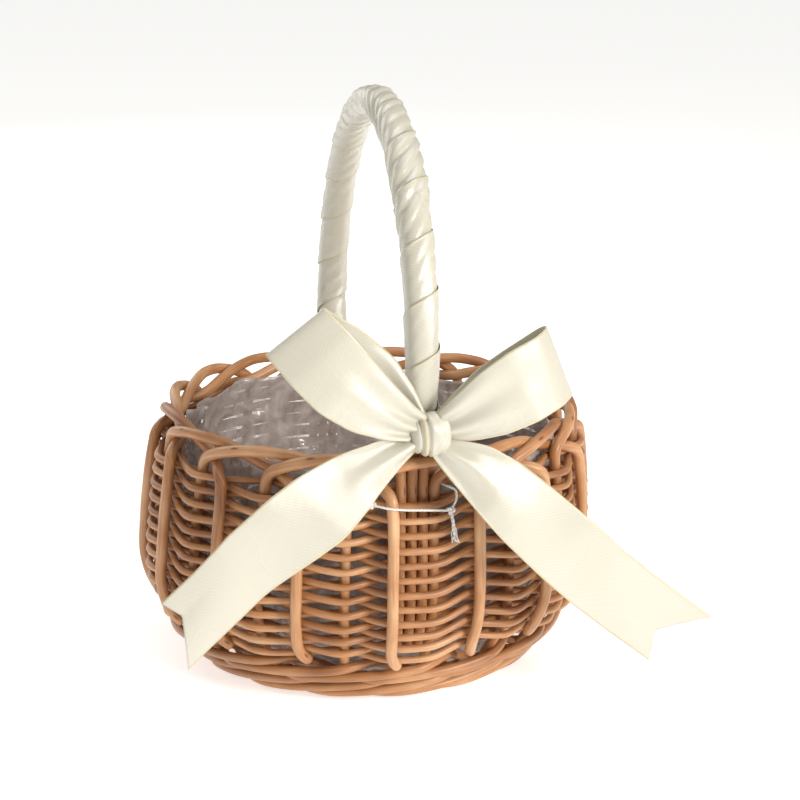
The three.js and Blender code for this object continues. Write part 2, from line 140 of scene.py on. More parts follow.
def buildMesh(name, points, faces, uv, material, slot, nodes, tone=None, body="root"):
    # one smooth piece that rides on the basket and stands for the named CAD nodes
    mesh = bpy.data.meshes.new(name)
    mesh.from_pydata((points * 0.001).tolist(), [], faces)
    layer = mesh.uv_layers.new(name="length")
    layer.data.foreach_set("uv", (uv * 0.001).astype(np.float32).ravel())
    if tone is not None:
        shade = mesh.attributes.new("tone", "FLOAT", "POINT")
        shade.data.foreach_set("value", np.broadcast_to(tone, len(points)).astype(np.float32).ravel())
    mesh.polygons.foreach_set("use_smooth", np.ones(len(mesh.polygons), bool))
    mesh.materials.append(material)
    mesh.update()
    made = bpy.data.objects.new(name, mesh)
    scene.collection.objects.link(made)
    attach(made, body)
    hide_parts(*nodes)
    return made


def gridParts(points, u, v, wrap=False, poles=None):
    # quads between neighbouring rows and columns of a grid; wrap joins the last column to the first,
    # and poles, one point before the first row and one after the last, close the ends with triangles
    def uvAt(row, column, beside):
        return np.stack([u[row, column], v[row, beside]], 1)

    rows, columns = points.shape[:2]
    i, j = np.meshgrid(np.arange(rows - 1), np.arange(columns if wrap else columns - 1), indexing="ij")
    i, j = i.ravel(), j.ravel()
    k = (j + 1) % columns
    quads = np.stack([i * columns + j, i * columns + k, (i + 1) * columns + k, (i + 1) * columns + j], 1)
    quadUv = np.stack([uvAt(i, j, j), uvAt(i, j + 1, j + 1), uvAt(i + 1, j + 1, j + 1), uvAt(i + 1, j, j)], 1)
    flat = points.reshape(-1, 3)
    if poles is None:
        return flat, quads, quadUv, np.zeros((0, 3), int), np.zeros((0, 3, 2))
    a = np.arange(columns)
    b = (a + 1) % columns
    first, last = len(flat), len(flat) + 1
    flat = np.concatenate([flat, np.asarray(poles, float)])
    low = np.stack([np.full(columns, first), b, a], 1)
    high = np.stack([np.full(columns, last), (rows - 1) * columns + a, (rows - 1) * columns + b], 1)
    lowUv = np.stack([uvAt(0, a, a), uvAt(0, a, a + 1), uvAt(0, a, a)], 1)
    highUv = np.stack([uvAt(-1, a, a), uvAt(-1, a, a), uvAt(-1, a, a + 1)], 1)
    return flat, quads, quadUv, np.concatenate([low, high]), np.concatenate([lowUv, highUv])


def volumeOf(points, quads, tris):
    # six times the volume: the sum of a . (b x c) over the triangles
    parts = np.concatenate([quads[:, [0, 1, 2]], quads[:, [0, 2, 3]], tris])
    a, b, c = points[parts[:, 0]], points[parts[:, 1]], points[parts[:, 2]]
    return float((a * np.cross(b, c)).sum())


def joinParts(parts, closed):
    # several grids as one mesh's points, faces and UVs; a closed grid that came out inside out is turned
    allPoints, allFaces, allUv, start = [], [], [], 0
    for points, quads, quadUv, tris, triUv in parts:
        if closed and volumeOf(points, quads, tris) < 0:
            quads, quadUv, tris, triUv = quads[:, ::-1], quadUv[:, ::-1], tris[:, ::-1], triUv[:, ::-1]
        allPoints.append(points)
        allFaces += (quads + start).tolist() + (tris + start).tolist()
        allUv += [quadUv.reshape(-1, 2), triUv.reshape(-1, 2)]
        start += len(points)
    return np.concatenate(allPoints), allFaces, np.concatenate(allUv)


def unit(vectors):
    return vectors / np.maximum(np.linalg.norm(vectors, axis=-1, keepdims=True), 1e-9)


def outward(path):
    return unit(path * np.array([1, 1, 0]))


def lengthAlong(path):
    return np.concatenate([[0], np.cumsum(np.linalg.norm(np.diff(path, axis=0), axis=1))])


def bump(x):
    # a bell: 1 at zero, and e to the power of minus x squared beside it
    return np.exp(-x ** 2)


def smoothStep(x):
    # 0 below zero, 1 above one, and 3 x squared - 2 x cubed between
    x = np.clip(x, 0, 1)
    return x * x * (3 - 2 * x)


def turnFrom(angle, other):
    # the smaller turn between two angles, from -180 to 180 degrees
    return (angle - other + 180) % 360 - 180


def softPath(corners, spacing, softness):
    # stations an even distance apart along straight runs, rounded off by a bell-shaped average
    corners = np.asarray(corners, float)
    along = lengthAlong(corners)
    count = max(int(along[-1] / spacing), 8)
    at = np.linspace(0, along[-1], count)
    line = np.stack([np.interp(at, along, corners[:, k]) for k in range(corners.shape[1])], 1)
    reach = min(int(3 * softness / spacing) + 1, count - 1)
    bell = np.exp(-0.5 * (np.arange(-reach, reach + 1) * spacing / softness) ** 2)
    longer = np.concatenate([2 * line[0] - line[reach:0:-1], line, 2 * line[-1] - line[-2:-reach - 2:-1]])
    bell = bell / bell.sum()
    return np.stack([np.convolve(longer[:, k], bell, "valid") for k in range(line.shape[1])], 1)


def wander(at, size, reach):
    # a slow random waver: a sum of sines with random phases, `reach` millimetres long
    waves = np.arange(1, 5)
    phase = chance.uniform(0, 2 * np.pi, 4)
    return size * (np.sin(at[:, None] * 2 * np.pi * waves / (reach * 2.6) + phase) / waves ** 0.7).sum(1) * 0.6


def tubeParts(path, radius, sides, aim, cap=0.5):
    # ring = centre + radius (cos a * side + sin a * top), where side = tangent x aim. The ends are
    # rounded: past the end the radius falls as a quarter ellipse `cap` radii long
    tangent = unit(np.gradient(path, axis=0))
    side = unit(np.cross(tangent, np.broadcast_to(aim, path.shape)))
    top = np.cross(side, tangent)
    radius = np.broadcast_to(radius, len(path)).astype(float)
    share = np.array([0.45, 0.8, 0.97])
    shrink = np.sqrt(1 - share ** 2)
    before = path[0] - np.outer(share[::-1] * cap * radius[0], tangent[0])
    after = path[-1] + np.outer(share * cap * radius[-1], tangent[-1])
    centre = np.concatenate([before, path, after])
    size = np.concatenate([shrink[::-1] * radius[0], radius, shrink * radius[-1]])
    side = np.concatenate([np.repeat(side[:1], 3, 0), side, np.repeat(side[-1:], 3, 0)])
    top = np.concatenate([np.repeat(top[:1], 3, 0), top, np.repeat(top[-1:], 3, 0)])
    a = np.arange(sides) * 2 * np.pi / sides
    ring = np.cos(a)[None, :, None] * side[:, None] + np.sin(a)[None, :, None] * top[:, None]
    points = centre[:, None] + size[:, None, None] * ring
    u = np.repeat(lengthAlong(centre)[:, None], sides + 1, 1)
    v = np.broadcast_to(np.arange(sides + 1) * 2 * np.pi / sides * radius.mean(), u.shape)
    poles = [path[0] - tangent[0] * cap * radius[0], path[-1] + tangent[-1] * cap * radius[-1]]
    return gridParts(points, u, v, wrap=True, poles=poles)


def buildRod(name, tube, material, slot, nodes, tone):
    buildMesh(name, *joinParts([tube], True), material, slot, nodes, tone=tone)


def addThickness(made, thickness):
    solid = made.modifiers.new("thickness", "SOLIDIFY")
    solid.thickness = thickness * 0.001
    solid.offset = 0


# The basket's wall, which every rod follows.
wall = dict(bellyHeight=46, borderHeight=110.9, bellyRadius=92.9, ovality=0.92,
            baseNarrowing=24.5, baseFlare=1.6, rimNarrowing=6.8,
            stakes=16, firstStake=4.9, rodPitch=4.5, stickStep=2.886)
# Where the hand-made wall swells and hollows, and where its rim sags a little.
handmade = [dict(angle=-62, height=24, wide=34, tall=26, out=2.4),
            dict(angle=38, height=12, wide=26, tall=20, out=-1.3)]
rimSag = dict(angle=-62, wide=38, down=2.0, above=40, over=60)
stakeStep = 360 / wall["stakes"]
stickMiddle = wall["firstStake"] - 2 * wall["stickStep"]       # the handle stands here, and opposite


def wallRadius(z):
    # below the belly the radius falls as a power of the depth, above it as the height squared
    low = np.clip((wall["bellyHeight"] - z) / wall["bellyHeight"], 0, None)
    high = np.clip((z - wall["bellyHeight"]) / (wall["borderHeight"] - wall["bellyHeight"]), 0, None)
    narrowing = wall["baseNarrowing"] * low ** wall["baseFlare"]
    return wall["bellyRadius"] - narrowing - wall["rimNarrowing"] * high ** 2


def wallPoint(angle, z, out=0.0, radius=None):
    # a point of the oval at that height, moved out along the oval's normal
    angle, z, out = np.broadcast_arrays(np.radians(angle), np.asarray(z, float), np.asarray(out, float))
    radius = wallRadius(z) if radius is None else radius
    s, c = np.sin(angle), np.cos(angle)
    n = unit(np.stack([wall["ovality"] * s, -c], -1))
    return np.stack([radius * s + out * n[..., 0], -wall["ovality"] * radius * c + out * n[..., 1], z], -1)


def settle(path):
    # the hand-made wall isn't a true oval: a bell of swelling or hollow at each place, and a rim sag
    angle = np.degrees(np.arctan2(path[..., 0], -path[..., 1]))
    push = np.zeros(angle.shape)
    for row in handmade:
        near = bump(turnFrom(angle, row["angle"]) / row["wide"])
        push += row["out"] * near * bump((path[..., 2] - row["height"]) / row["tall"])
    sag = rimSag["down"] * bump(turnFrom(angle, rimSag["angle"]) / rimSag["wide"])
    sag = sag * smoothStep((path[..., 2] - rimSag["above"]) / rimSag["over"])
    return path + outward(path) * push[..., None] - upwards * sag[..., None]


def fromHandle(angle):
    # degrees to the nearer end of the handle
    return np.minimum(abs(turnFrom(angle, stickMiddle)), abs(turnFrom(angle, stickMiddle + 180)))


def nearHandle(angle, reach):
    return 1 - smoothStep((fromHandle(angle) - reach * 0.45) / (reach * 0.55))


willow = dict(deep="#85522E", mid="#B47E50", pale="#DDB084", scar="#54301A",
              streakLong=14, streakWide=0.9, roughness=0.42)


def willowMaterial(name, row):
    # Buff willow: rods boiled in their bark, peeled, and rubbed smooth. That gives an orange-tan skin
    # with a soft gloss, fine lengthwise grain and small dark bud scars.
    made, tree = startMaterial(name)
    coords = addNode(tree, "UVMap", uv_map="length").outputs["UV"]
    tone = addNode(tree, "Attribute", attribute_name="tone").outputs["Fac"]
    place = addNode(tree, "TexCoord").outputs["Object"]
    # grain lines about 1 mm wide; the real ones are finer, and wouldn't show
    streak = (1000 / row["streakLong"], 1000 / row["streakWide"], 1)
    along = addNode(tree, "Mapping", {"Vector": coords, "Scale": streak}).outputs[0]
    grain = addNode(tree, "TexNoise", {"Vector": along, "Scale": 1.0, "Detail": 3.0, "Roughness": 0.6})
    grain = grain.outputs["Fac"]
    # patches some 25 mm long where the bark's tannin stained the wood more
    patch = addNode(tree, "TexNoise", {"Vector": place, "Scale": 42.0, "Detail": 2.0}).outputs["Fac"]
    mixed = addNode(tree, "Math", {0: grain, 1: 0.40}, operation="MULTIPLY").outputs[0]
    mixed = addNode(tree, "Math", {0: patch, 1: 0.55, 2: mixed}, operation="MULTIPLY_ADD").outputs[0]
    mixed = addNode(tree, "Math", {0: mixed, 1: tone}, operation="ADD").outputs[0]
    ramp = addNode(tree, "ValToRGB", {"Fac": mixed})
    first, last = ramp.color_ramp.elements
    first.position, first.color = 0.25, linear(row["deep"])
    last.position, last.color = 0.78, linear(row["pale"])
    ramp.color_ramp.elements.new(0.5).color = linear(row["mid"])
    # bud scars: a few dark flecks 2 to 5 mm long, some 24 mm apart along a rod
    cells = addNode(tree, "Mapping", {"Vector": coords, "Scale": (1000 / 24, 1000 / 7, 1)}).outputs[0]
    dots = addNode(tree, "TexVoronoi", {"Vector": cells, "Scale": 1.0}, feature="F1").outputs["Distance"]
    fleck = addNode(tree, "MapRange", {"Value": dots, "From Min": 0.05, "From Max": 0.10,
                                       "To Min": 0.75, "To Max": 0.0}).outputs[0]
    colour = addNode(tree, "Mix", {0: fleck, 6: ramp.outputs["Color"], 7: linear(row["scar"])},
                     data_type="RGBA")
    rough = addNode(tree, "MapRange", {"Value": grain, "To Min": row["roughness"] - 0.08,
                                       "To Max": row["roughness"] + 0.12})
    relief = addNode(tree, "Bump", {"Height": grain, "Strength": 0.35, "Distance": 0.0002})
    shader = addNode(tree, "BsdfPrincipled", {
        "Base Color": colour.outputs[2], "Roughness": rough.outputs[0], "IOR": 1.5,
        "Coat Weight": 0.25, "Coat Roughness": 0.3, "Normal": relief.outputs[0]})
    finishMaterial(tree, shader)
    return made


# pale is the ribbon's own ivory on the thread tops; shade is the painted shade between the threads
satin = dict(pale="#CECABA", shade="#B3AE9D", edge="#C6BC9E", width=30, thread=0.7, roughness=0.27)


def satinMaterial(name, row, halfWidth):
    # Polyester satin ribbon: long floats of bright yarn woven lengthwise. It shines in broad soft
    # bands, shows fine threads close to, and has a thin corded edge of denser, creamier yarn.
    made, tree = startMaterial(name)
    coords = addNode(tree, "UVMap", uv_map="length").outputs["UV"]
    parts = addNode(tree, "SeparateXYZ", {"Vector": coords})
    x, y = parts.outputs["X"], parts.outputs["Y"]
    # threads are drawn 0.7 mm apart, coarser than the real 0.2 mm, so that they show:
    # sin(length) times sin(width + 0.35 length)
    waves = 1000 / row["thread"] * 2 * math.pi
    across = addNode(tree, "Math", {0: x, 1: waves}, operation="MULTIPLY").outputs[0]
    across = addNode(tree, "Math", {0: across}, operation="SINE").outputs[0]
    slanted = addNode(tree, "Math", {0: x, 1: 0.35, 2: y}, operation="MULTIPLY_ADD").outputs[0]
    slanted = addNode(tree, "Math", {0: slanted, 1: waves}, operation="MULTIPLY").outputs[0]
    slanted = addNode(tree, "Math", {0: slanted}, operation="SINE").outputs[0]
    weave = addNode(tree, "Math", {0: across, 1: slanted}, operation="MULTIPLY").outputs[0]
    level = addNode(tree, "MapRange", {"Value": weave, "From Min": -1.0, "To Min": 0.0, "To Max": 1.0})
    level = level.outputs[0]
    # painted shade between the threads: the weave's low places take the darker shade colour, its tops the pale
    # ivory
    ramp = addNode(tree, "ValToRGB", {"Fac": level})
    first, last = ramp.color_ramp.elements
    first.position, first.color = 0.1, linear(row["shade"])
    last.position, last.color = 0.7, linear(row["pale"])
    # the corded edge is the last millimetre on each side
    off = addNode(tree, "Math", {0: y}, operation="ABSOLUTE").outputs[0]
    rim = addNode(tree, "MapRange", {"Value": off, "From Min": (halfWidth - 1.0) * 0.001,
                                     "From Max": (halfWidth - 0.7) * 0.001,
                                     "To Min": 0.0, "To Max": 1.0}).outputs[0]
    colour = addNode(tree, "Mix", {0: rim, 6: ramp.outputs["Color"], 7: linear(row["edge"])},
                     data_type="RGBA")
    relief = addNode(tree, "Bump", {"Height": level, "Strength": 0.30, "Distance": 0.00015}).outputs[0]
    raised = addNode(tree, "Bump", {"Height": rim, "Strength": 0.5, "Distance": 0.0002, "Normal": relief})
    # slow changes of gloss, 40 mm long
    cloud = addNode(tree, "TexNoise", {"Vector": coords, "Scale": 25.0, "Detail": 1.0}).outputs["Fac"]
    rough = addNode(tree, "MapRange", {"Value": cloud, "To Min": row["roughness"] - 0.03,
                                       "To Max": row["roughness"] + 0.03})
    floats = addNode(tree, "Tangent", direction_type="UV_MAP", uv_map="length")
    shader = addNode(tree, "BsdfPrincipled", {
        "Base Color": colour.outputs[2], "Roughness": rough.outputs[0], "IOR": 1.54,
        "Specular IOR Level": 1.0, "Anisotropic": 0.7, "Tangent": floats.outputs[0],
        "Sheen Weight": 0.1, "Sheen Roughness": 0.4, "Coat Weight": 0.25, "Coat Roughness": 0.3,
        "Normal": raised.outputs[0]})
    finishMaterial(tree, shader)
    return made


film = dict(colour="#C4B8B2", alpha=0.62, roughness=0.2)


def filmMaterial(name, row):
    # Clear polypropylene film, blown thin and left crumpled: half see-through, a warm grey haze
    # where it doubles over, with hard white glints along its creases.
    made, tree = startMaterial(name)
    place = addNode(tree, "TexCoord").outputs["Object"]
    # creases some 20 mm apart, and finer crumpling of about 10 mm
    crease = addNode(tree, "TexVoronoi", {"Vector": place, "Scale": 55.0, "Randomness": 1.0},
                     feature="DISTANCE_TO_EDGE").outputs["Distance"]
    fine = addNode(tree, "TexNoise", {"Vector": place, "Scale": 90.0, "Detail": 3.0, "Distortion": 1.2})
    fine = fine.outputs["Fac"]
    both = addNode(tree, "Math", {0: fine, 1: 0.6, 2: crease}, operation="MULTIPLY_ADD").outputs[0]
    relief = addNode(tree, "Bump", {"Height": both, "Strength": 0.7, "Distance": 0.002}).outputs[0]
    haze = addNode(tree, "MapRange", {"Value": fine, "From Min": 0.3, "From Max": 0.75,
                                      "To Min": row["alpha"] * 0.6, "To Max": row["alpha"] * 1.7})
    shader = addNode(tree, "BsdfPrincipled", {
        "Base Color": linear(row["colour"]), "Roughness": row["roughness"], "IOR": 1.49,
        "Specular IOR Level": 0.8, "Alpha": haze.outputs[0], "Normal": relief})
    finishMaterial(tree, shader)
    return made


cotton = dict(pale="#F4F3EF", shade="#DAD8D2", twist=1.6)


def cottonMaterial(name, row):
    # Bleached cotton string: two plies twisted together, matt, with shadow between the plies.
    made, tree = startMaterial(name)
    coords = addNode(tree, "UVMap", uv_map="length").outputs["UV"]
    parts = addNode(tree, "SeparateXYZ", {"Vector": coords})
    # one ply every 1.6 mm, slanted round the string
    slant = addNode(tree, "Math", {0: parts.outputs["X"], 1: 0.9, 2: parts.outputs["Y"]},
                    operation="MULTIPLY_ADD").outputs[0]
    slant = addNode(tree, "Math", {0: slant, 1: 2000 * math.pi / row["twist"]}, operation="MULTIPLY")
    ply = addNode(tree, "Math", {0: slant.outputs[0]}, operation="SINE").outputs[0]
    level = addNode(tree, "MapRange", {"Value": ply, "From Min": -1.0}).outputs[0]
    ramp = addNode(tree, "ValToRGB", {"Fac": level})
    first, last = ramp.color_ramp.elements
    first.color, last.color = linear(row["shade"]), linear(row["pale"])
    relief = addNode(tree, "Bump", {"Height": level, "Strength": 0.6, "Distance": 0.0003})
    shader = addNode(tree, "BsdfPrincipled", {
        "Base Color": ramp.outputs["Color"], "Roughness": 0.85, "Sheen Weight": 0.3,
        "Sheen Roughness": 0.5, "Normal": relief.outputs[0]})
    finishMaterial(tree, shader)
    return made


makeCamera()
makeLights()
rodFinish = willowMaterial("buffWillowRods", willow)
weaveFinish = willowMaterial("buffWillowWeavers", dict(willow, streakLong=11, roughness=0.44))
satinFinish = satinMaterial("ivorySatinRibbon", satin, satin["width"] / 2)
filmFinish = filmMaterial("clearFilm", film)
cottonFinish = cottonMaterial("twistedCottonString", cotton)
print("camera, lights and finishes made")


# Stakes: up the wall, along the border over two neighbours, and down the outside.
stake = dict(radius=2.1, borderRadius=2.4, tipRadius=2.34, sides=12, spacing=1.3, softness=2.1,
             waver=0.28, baseHeight=5.4, fold=2.5, tuckHeight=26.4, outerSwing=5.0,
             outerSwingAtHandle=8.32, lean=1.2, start=55.2, baseEdge=65.2)
# the border run of one stake, in stake spaces along and rod pitches down and out
borderRun = np.array([[0, 2.3, 0.02], [0.06, 1.64, 0.18], [0.33, 0.76, 0.51], [0.65, 0.16, 0.44],
                      [1, 0, 0.07], [1.35, 0.31, -0.51], [1.65, 0.93, -0.78], [2, 1.76, -1],
                      [2.16, 2.04, -0.58], [2.28, 2.2, 0.11], [2.4, 2.6, 0.87]])


def stakePath(angle):
    top, pitch = wall["borderHeight"], wall["rodPitch"]
    outerAngle = angle + stake["fold"] * stakeStep
    beside = fromHandle(outerAngle) < stakeStep / 2
    outerOut = stake["outerSwingAtHandle"] if beside else stake["outerSwing"]
    tuck = 0.6 if beside else 1.8
    rising = np.linspace(13, top - 3.1 * pitch, 12)
    start = [wallPoint(angle, stake["baseHeight"], 0, stake["start"]),
             wallPoint(angle, stake["baseHeight"], 0, stake["baseEdge"] + 2.5),
             wallPoint(angle, stake["baseHeight"] + 2.8)]
    run = softPath(borderRun, 0.04, 0.10)
    runAngle = angle + run[:, 0] * stakeStep
    parting = np.where(run[:, 0] < 1.3, 1.18, -0.33)
    out = run[:, 2] + np.where(run[:, 0] > 0.3, parting * nearHandle(runAngle, 15), 0)
    border = wallPoint(runAngle, top - run[:, 1] * pitch, out * pitch)
    falling = np.linspace(top - 5 * pitch, stake["tuckHeight"] + 4, 12)
    lean = np.linspace(0, 1, 12) * chance.normal(0, stake["lean"])
    outer = wallPoint(outerAngle + lean, falling, outerOut)
    end = [wallPoint(outerAngle + lean[-1] + 0.6, stake["tuckHeight"], outerOut - tuck / 3),
           wallPoint(outerAngle + lean[-1] + 1.8, stake["tuckHeight"] - 2.6, outerOut - tuck)]
    knuckle = [wallPoint(outerAngle - 0.6, top - 2.9 * pitch, outerOut - 0.2)]
    corners = np.concatenate([start, wallPoint(angle, rising), border, knuckle, outer, end])
    return softPath(corners, stake["spacing"], stake["softness"])


def makeStakes():
    for i in range(wall["stakes"]):
        path = stakePath(wall["firstStake"] + i * stakeStep)
        along = lengthAlong(path)
        path = settle(path)
        path[:, 0] += wander(along, stake["waver"] * 0.6, 60)
        path[:, 1] += wander(along, stake["waver"] * 0.6, 60)
        share = along / along[-1]
        radii = [stake["radius"], stake["radius"], stake["borderRadius"], stake["tipRadius"]]
        radius = np.interp(share, [0, 0.3, 0.42, 1], radii)
        radius = radius + wander(along, 0.06, 22)
        tube = tubeParts(path, radius, stake["sides"], outward(path) * 0.6 - upwards * 0.8, cap=0.7)
        number = f"{i + 1:02d}"
        buildRod(f"willowStake_{number}", tube, rodFinish, "willow_rods", [f"stake_{number}"],
                 chance.normal(0.04, 0.07))


makeStakes()
print("stakes made")


# Weavers: each row goes outside one stake and inside the next.
weaver = dict(radius=1.58, sides=8, spacing=1.5, outside=4.95, inside=4.75, softness=3.0,
              dip=0.95, waver=0.3, rows=24)
dipPlaces = dict(angle=27, wide=20, more=0.9)                 # the rows dip deeper here
rise = dict(start=4.5, steep=10, end=17, slow=26, up=2.8)     # and climb just right of the handle


def weaverStations(row):
    # angles and in-or-out places, from the stake where the row starts, round and back to it
    start = 5 if row % 2 == 0 else 4
    angles, swings = [wall["firstStake"] + start * stakeStep], [-1.0]
    for n in range(start + 1, start + wall["stakes"] + 1):
        angle = wall["firstStake"] + n * stakeStep
        side = 1.0 if (n + row) % 2 == 0 else -1.0
        if n % (wall["stakes"] // 2) == 0:
            angles.append(angle - 3.65 * wall["stickStep"])
            swings.append(side)
        angles.append(angle)
        swings.append(side)
    return np.array(angles), np.array(swings)


def makeWeavers():
    for row in range(weaver["rows"]):
        low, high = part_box(f"weaver_{row + 1:02d}")
        z = (low.z + high.z) * 500
        angles, swings = weaverStations(row)
        count = int(np.radians(360) * wallRadius(z) / weaver["spacing"])
        angle = np.linspace(angles[0] + 0.8, angles[-1] - 0.8, count)
        i = np.clip(np.searchsorted(angles, angle, side="right") - 1, 0, len(angles) - 2)
        share = (angle - angles[i]) / (angles[i + 1] - angles[i])
        # between two stakes the rod crosses over in a straight line, and softPath rounds its bends
        swing = swings[i] + (swings[i + 1] - swings[i]) * share
        arc = np.radians(angle - angle[0]) * wallRadius(z)
        deeper = bump(turnFrom(angle, dipPlaces["angle"]) / dipPlaces["wide"])
        dip = weaver["dip"] + dipPlaces["more"] * deeper
        beside = turnFrom(angle, 0)
        climb = smoothStep((beside - rise["start"]) / rise["steep"])
        climb = climb * (1 - smoothStep((beside - rise["end"]) / rise["slow"]))
        height = z - dip * swing + rise["up"] * climb + wander(arc, weaver["waver"], 70) * 0.7
        out = np.where(swing > 0, swing * weaver["outside"], swing * weaver["inside"])
        out = out + wander(arc, 0.2, 50)
        path = settle(softPath(wallPoint(angle, height, out), weaver["spacing"], weaver["softness"]))
        thick = weaver["radius"] + chance.normal(0, 0.05)
        radius = thick + wander(lengthAlong(path), 0.07, 90)
        tube = tubeParts(path, radius, weaver["sides"], upwards)
        number = f"{row + 1:02d}"
        buildRod(f"willowWeaver_{number}", tube, weaveFinish, "willow_weave", [f"weaver_{number}"],
                 chance.normal(0.0, 0.07))


makeWeavers()
print("weavers made")


# Foot: two rounds of three-rod wale, each rod in front of two stakes and behind one.
foot = dict(radius=2.0, sides=10, spacing=1.5,
            rounds=[dict(low=2.1, high=11.0, front=4.0, behind=-1.6, shift=0.0),
                    dict(low=11.6, high=20.4, front=5.4, behind=-4.2, shift=0.3)])


def makeFoot():
    # one rod laid three times round makes the three-rod pattern, because 16 stakes leave one over
    nodes = ["foot_wale_1", "foot_wale_2", "foot_wale_3"]
    for k, row in enumerate(foot["rounds"]):
        count = int(3 * 2 * np.pi * wallRadius(row["high"]) / foot["spacing"])
        t = np.linspace(0, 3 * wall["stakes"], count)
        phase = (t + row["shift"]) % 3
        # in front from 0.5 to 2.5 stake spaces, rising as it goes; it drops back while behind
        front = smoothStep((phase - 0.1) / 0.75) * smoothStep((2.9 - phase) / 0.75)
        climb = np.interp(phase, [0, 0.35, 2.65, 3], [0.5, 0.0, 1.0, 0.5])
        climb = 0.5 + (climb - 0.5) * (1 + 0.25 * np.sin(t * 1.7))
        arc = t / wall["stakes"] * 2 * np.pi * wallRadius(row["high"])
        z = row["low"] + (row["high"] - row["low"]) * climb + wander(arc, 0.15, 80)
        out = row["behind"] + (row["front"] - row["behind"]) * front
        angle = 180 + wall["firstStake"] + t * stakeStep
        path = softPath(settle(wallPoint(angle, z, out)), foot["spacing"], 2.5)
        along = lengthAlong(path)
        radius = foot["radius"] + wander(along, 0.08, 70)
        path[:, 2] = np.maximum(path[:, 2], radius)
        tube = tubeParts(path, radius, foot["sides"], upwards)
        buildRod(f"footWale_{k + 1}", tube, rodFinish, "willow_weave", nodes, chance.normal(0.0, 0.03))


makeFoot()
print("foot made")


# Base: crossed sticks opened out into spokes, with two rods woven round them.
base = dict(middle=4.6, stickRadius=1.75, spread=4.6, crossLift=1.9, reach=54, cross=16.15,
            weaverRadius=1.32, swing=3.15, first=11.5, last=63.2, pitch=2.95, spacing=2.2)


def makeBase():
    k = 0
    for turned, lift in ((0, -1), (90, 1)):
        for side in (-1, 1):
            k += 1
            d = np.linspace(-base["reach"], base["reach"], 110)
            # side by side at the cross, then opening to an eighth of a turn apart
            opened = smoothStep((abs(d) - 8) / 26)
            apart = np.tan(np.radians(22.5)) * abs(d)
            across = side * (base["spread"] + (apart - base["spread"]) * opened)
            z = base["middle"] + lift * base["crossLift"] * bump(d / 15) + wander(d, 0.12, 40)
            a = np.radians(base["cross"] + turned)
            x = np.sin(a) * d + np.cos(a) * across
            y = wall["ovality"] * (-np.cos(a) * d + np.sin(a) * across)
            radius = base["stickRadius"] + wander(d, 0.05, 30)
            tube = tubeParts(np.stack([x, y, z], 1), radius, 10, upwards, cap=0.4)
            buildRod(f"baseSpoke_{k}", tube, rodFinish, "willow_rods", [f"base_stick_{k}"],
                     chance.normal(0.0, 0.06))
    grids = []
    for rod in (0, 1):
        # a spiral that goes over one spoke and under the next; the outer rounds do so at the stakes
        turns = (base["last"] - base["first"]) / (2 * base["pitch"])
        count = int(turns * 2 * np.pi * 0.55 * base["last"] / base["spacing"]) * 2
        t = np.sqrt(np.linspace(0, 1, count)) * turns
        r = base["first"] + 2 * base["pitch"] * t
        angle = 360 * t + 180 * rod + base["cross"]
        sign = 1 - 2 * rod
        inner = np.cos(np.radians(4 * (angle - base["cross"] - 22.5)))
        outer = np.cos(np.radians(8 * (angle - wall["firstStake"])))
        blend = smoothStep((r - 53) / 3)
        z = base["middle"] + sign * base["swing"] * (inner * (1 - blend) + outer * blend)
        r = r + wander(r * np.radians(angle), 0.25, 60)
        a = np.radians(angle)
        path = np.stack([r * np.sin(a), -wall["ovality"] * r * np.cos(a), z], 1)
        radius = base["weaverRadius"] + wander(lengthAlong(path), 0.06, 120)
        grids.append(tubeParts(path, radius, 8, upwards))
    buildMesh("baseWeave", *joinParts(grids, True), weaveFinish, "willow_weave", ["base_weave"],
              tone=0.0)


makeBase()
print("base made")


# Handle: four rods that close up into a bundle over the border.
handle = dict(rise=239.8, lean=5.5, foot=138, tip=30, spread=2.25, radius=2.1, sides=12)
footReach = wall["ovality"] * float(wallRadius(np.array(wall["borderHeight"]))) + 0.7
handleReach = footReach + handle["lean"]
bundleStart = wall["borderHeight"] + 2.55 * wall["rodPitch"]


def legReach(z):
    # the legs lean outwards in a straight line from the border up to where the arch starts
    high = handle["foot"] - wall["borderHeight"]
    return footReach + handle["lean"] * (z - wall["borderHeight"]) / high


def archLine(start, count=180):
    # the centreline from the front leg over to the back: straight legs, then half an ellipse
    leg = np.linspace(start, handle["foot"], 16)[:-1]
    a = np.linspace(0, np.pi, count)
    y = np.concatenate([-legReach(leg), -handleReach * np.cos(a), legReach(leg)[::-1]])
    arched = handle["foot"] + (handle["rise"] - handle["foot"]) * np.sin(a)
    z = np.concatenate([leg, arched, leg[::-1]])
    return softPath(np.stack([0 * y, y, z], 1), 1.0, 3.0)


def archFrame(path):
    # at each station, the directions across the bundle and out of the arch
    across = np.broadcast_to(sideways, path.shape)
    return across, np.cross(across, unit(np.gradient(path, axis=0)))


def stickEnd(angle, back, closing):
    # one end of a rod, from its tip in the weave up through the border: [along X, out], in rod pitches
    sign = 1 if back else -1
    heights = np.linspace(handle["tip"], wall["borderHeight"] - 2.8 * wall["rodPitch"], 14)
    points = wallPoint(angle + (180 if back else 0), heights)
    above = wall["borderHeight"] + np.array([-0.67, 0.58, 1.42]) * wall["rodPitch"]
    closing = np.array(closing) * wall["rodPitch"]
    closed = np.stack([closing[:, 0], sign * (legReach(above) + closing[:, 1]), above], 1)
    return np.concatenate([points, closed])


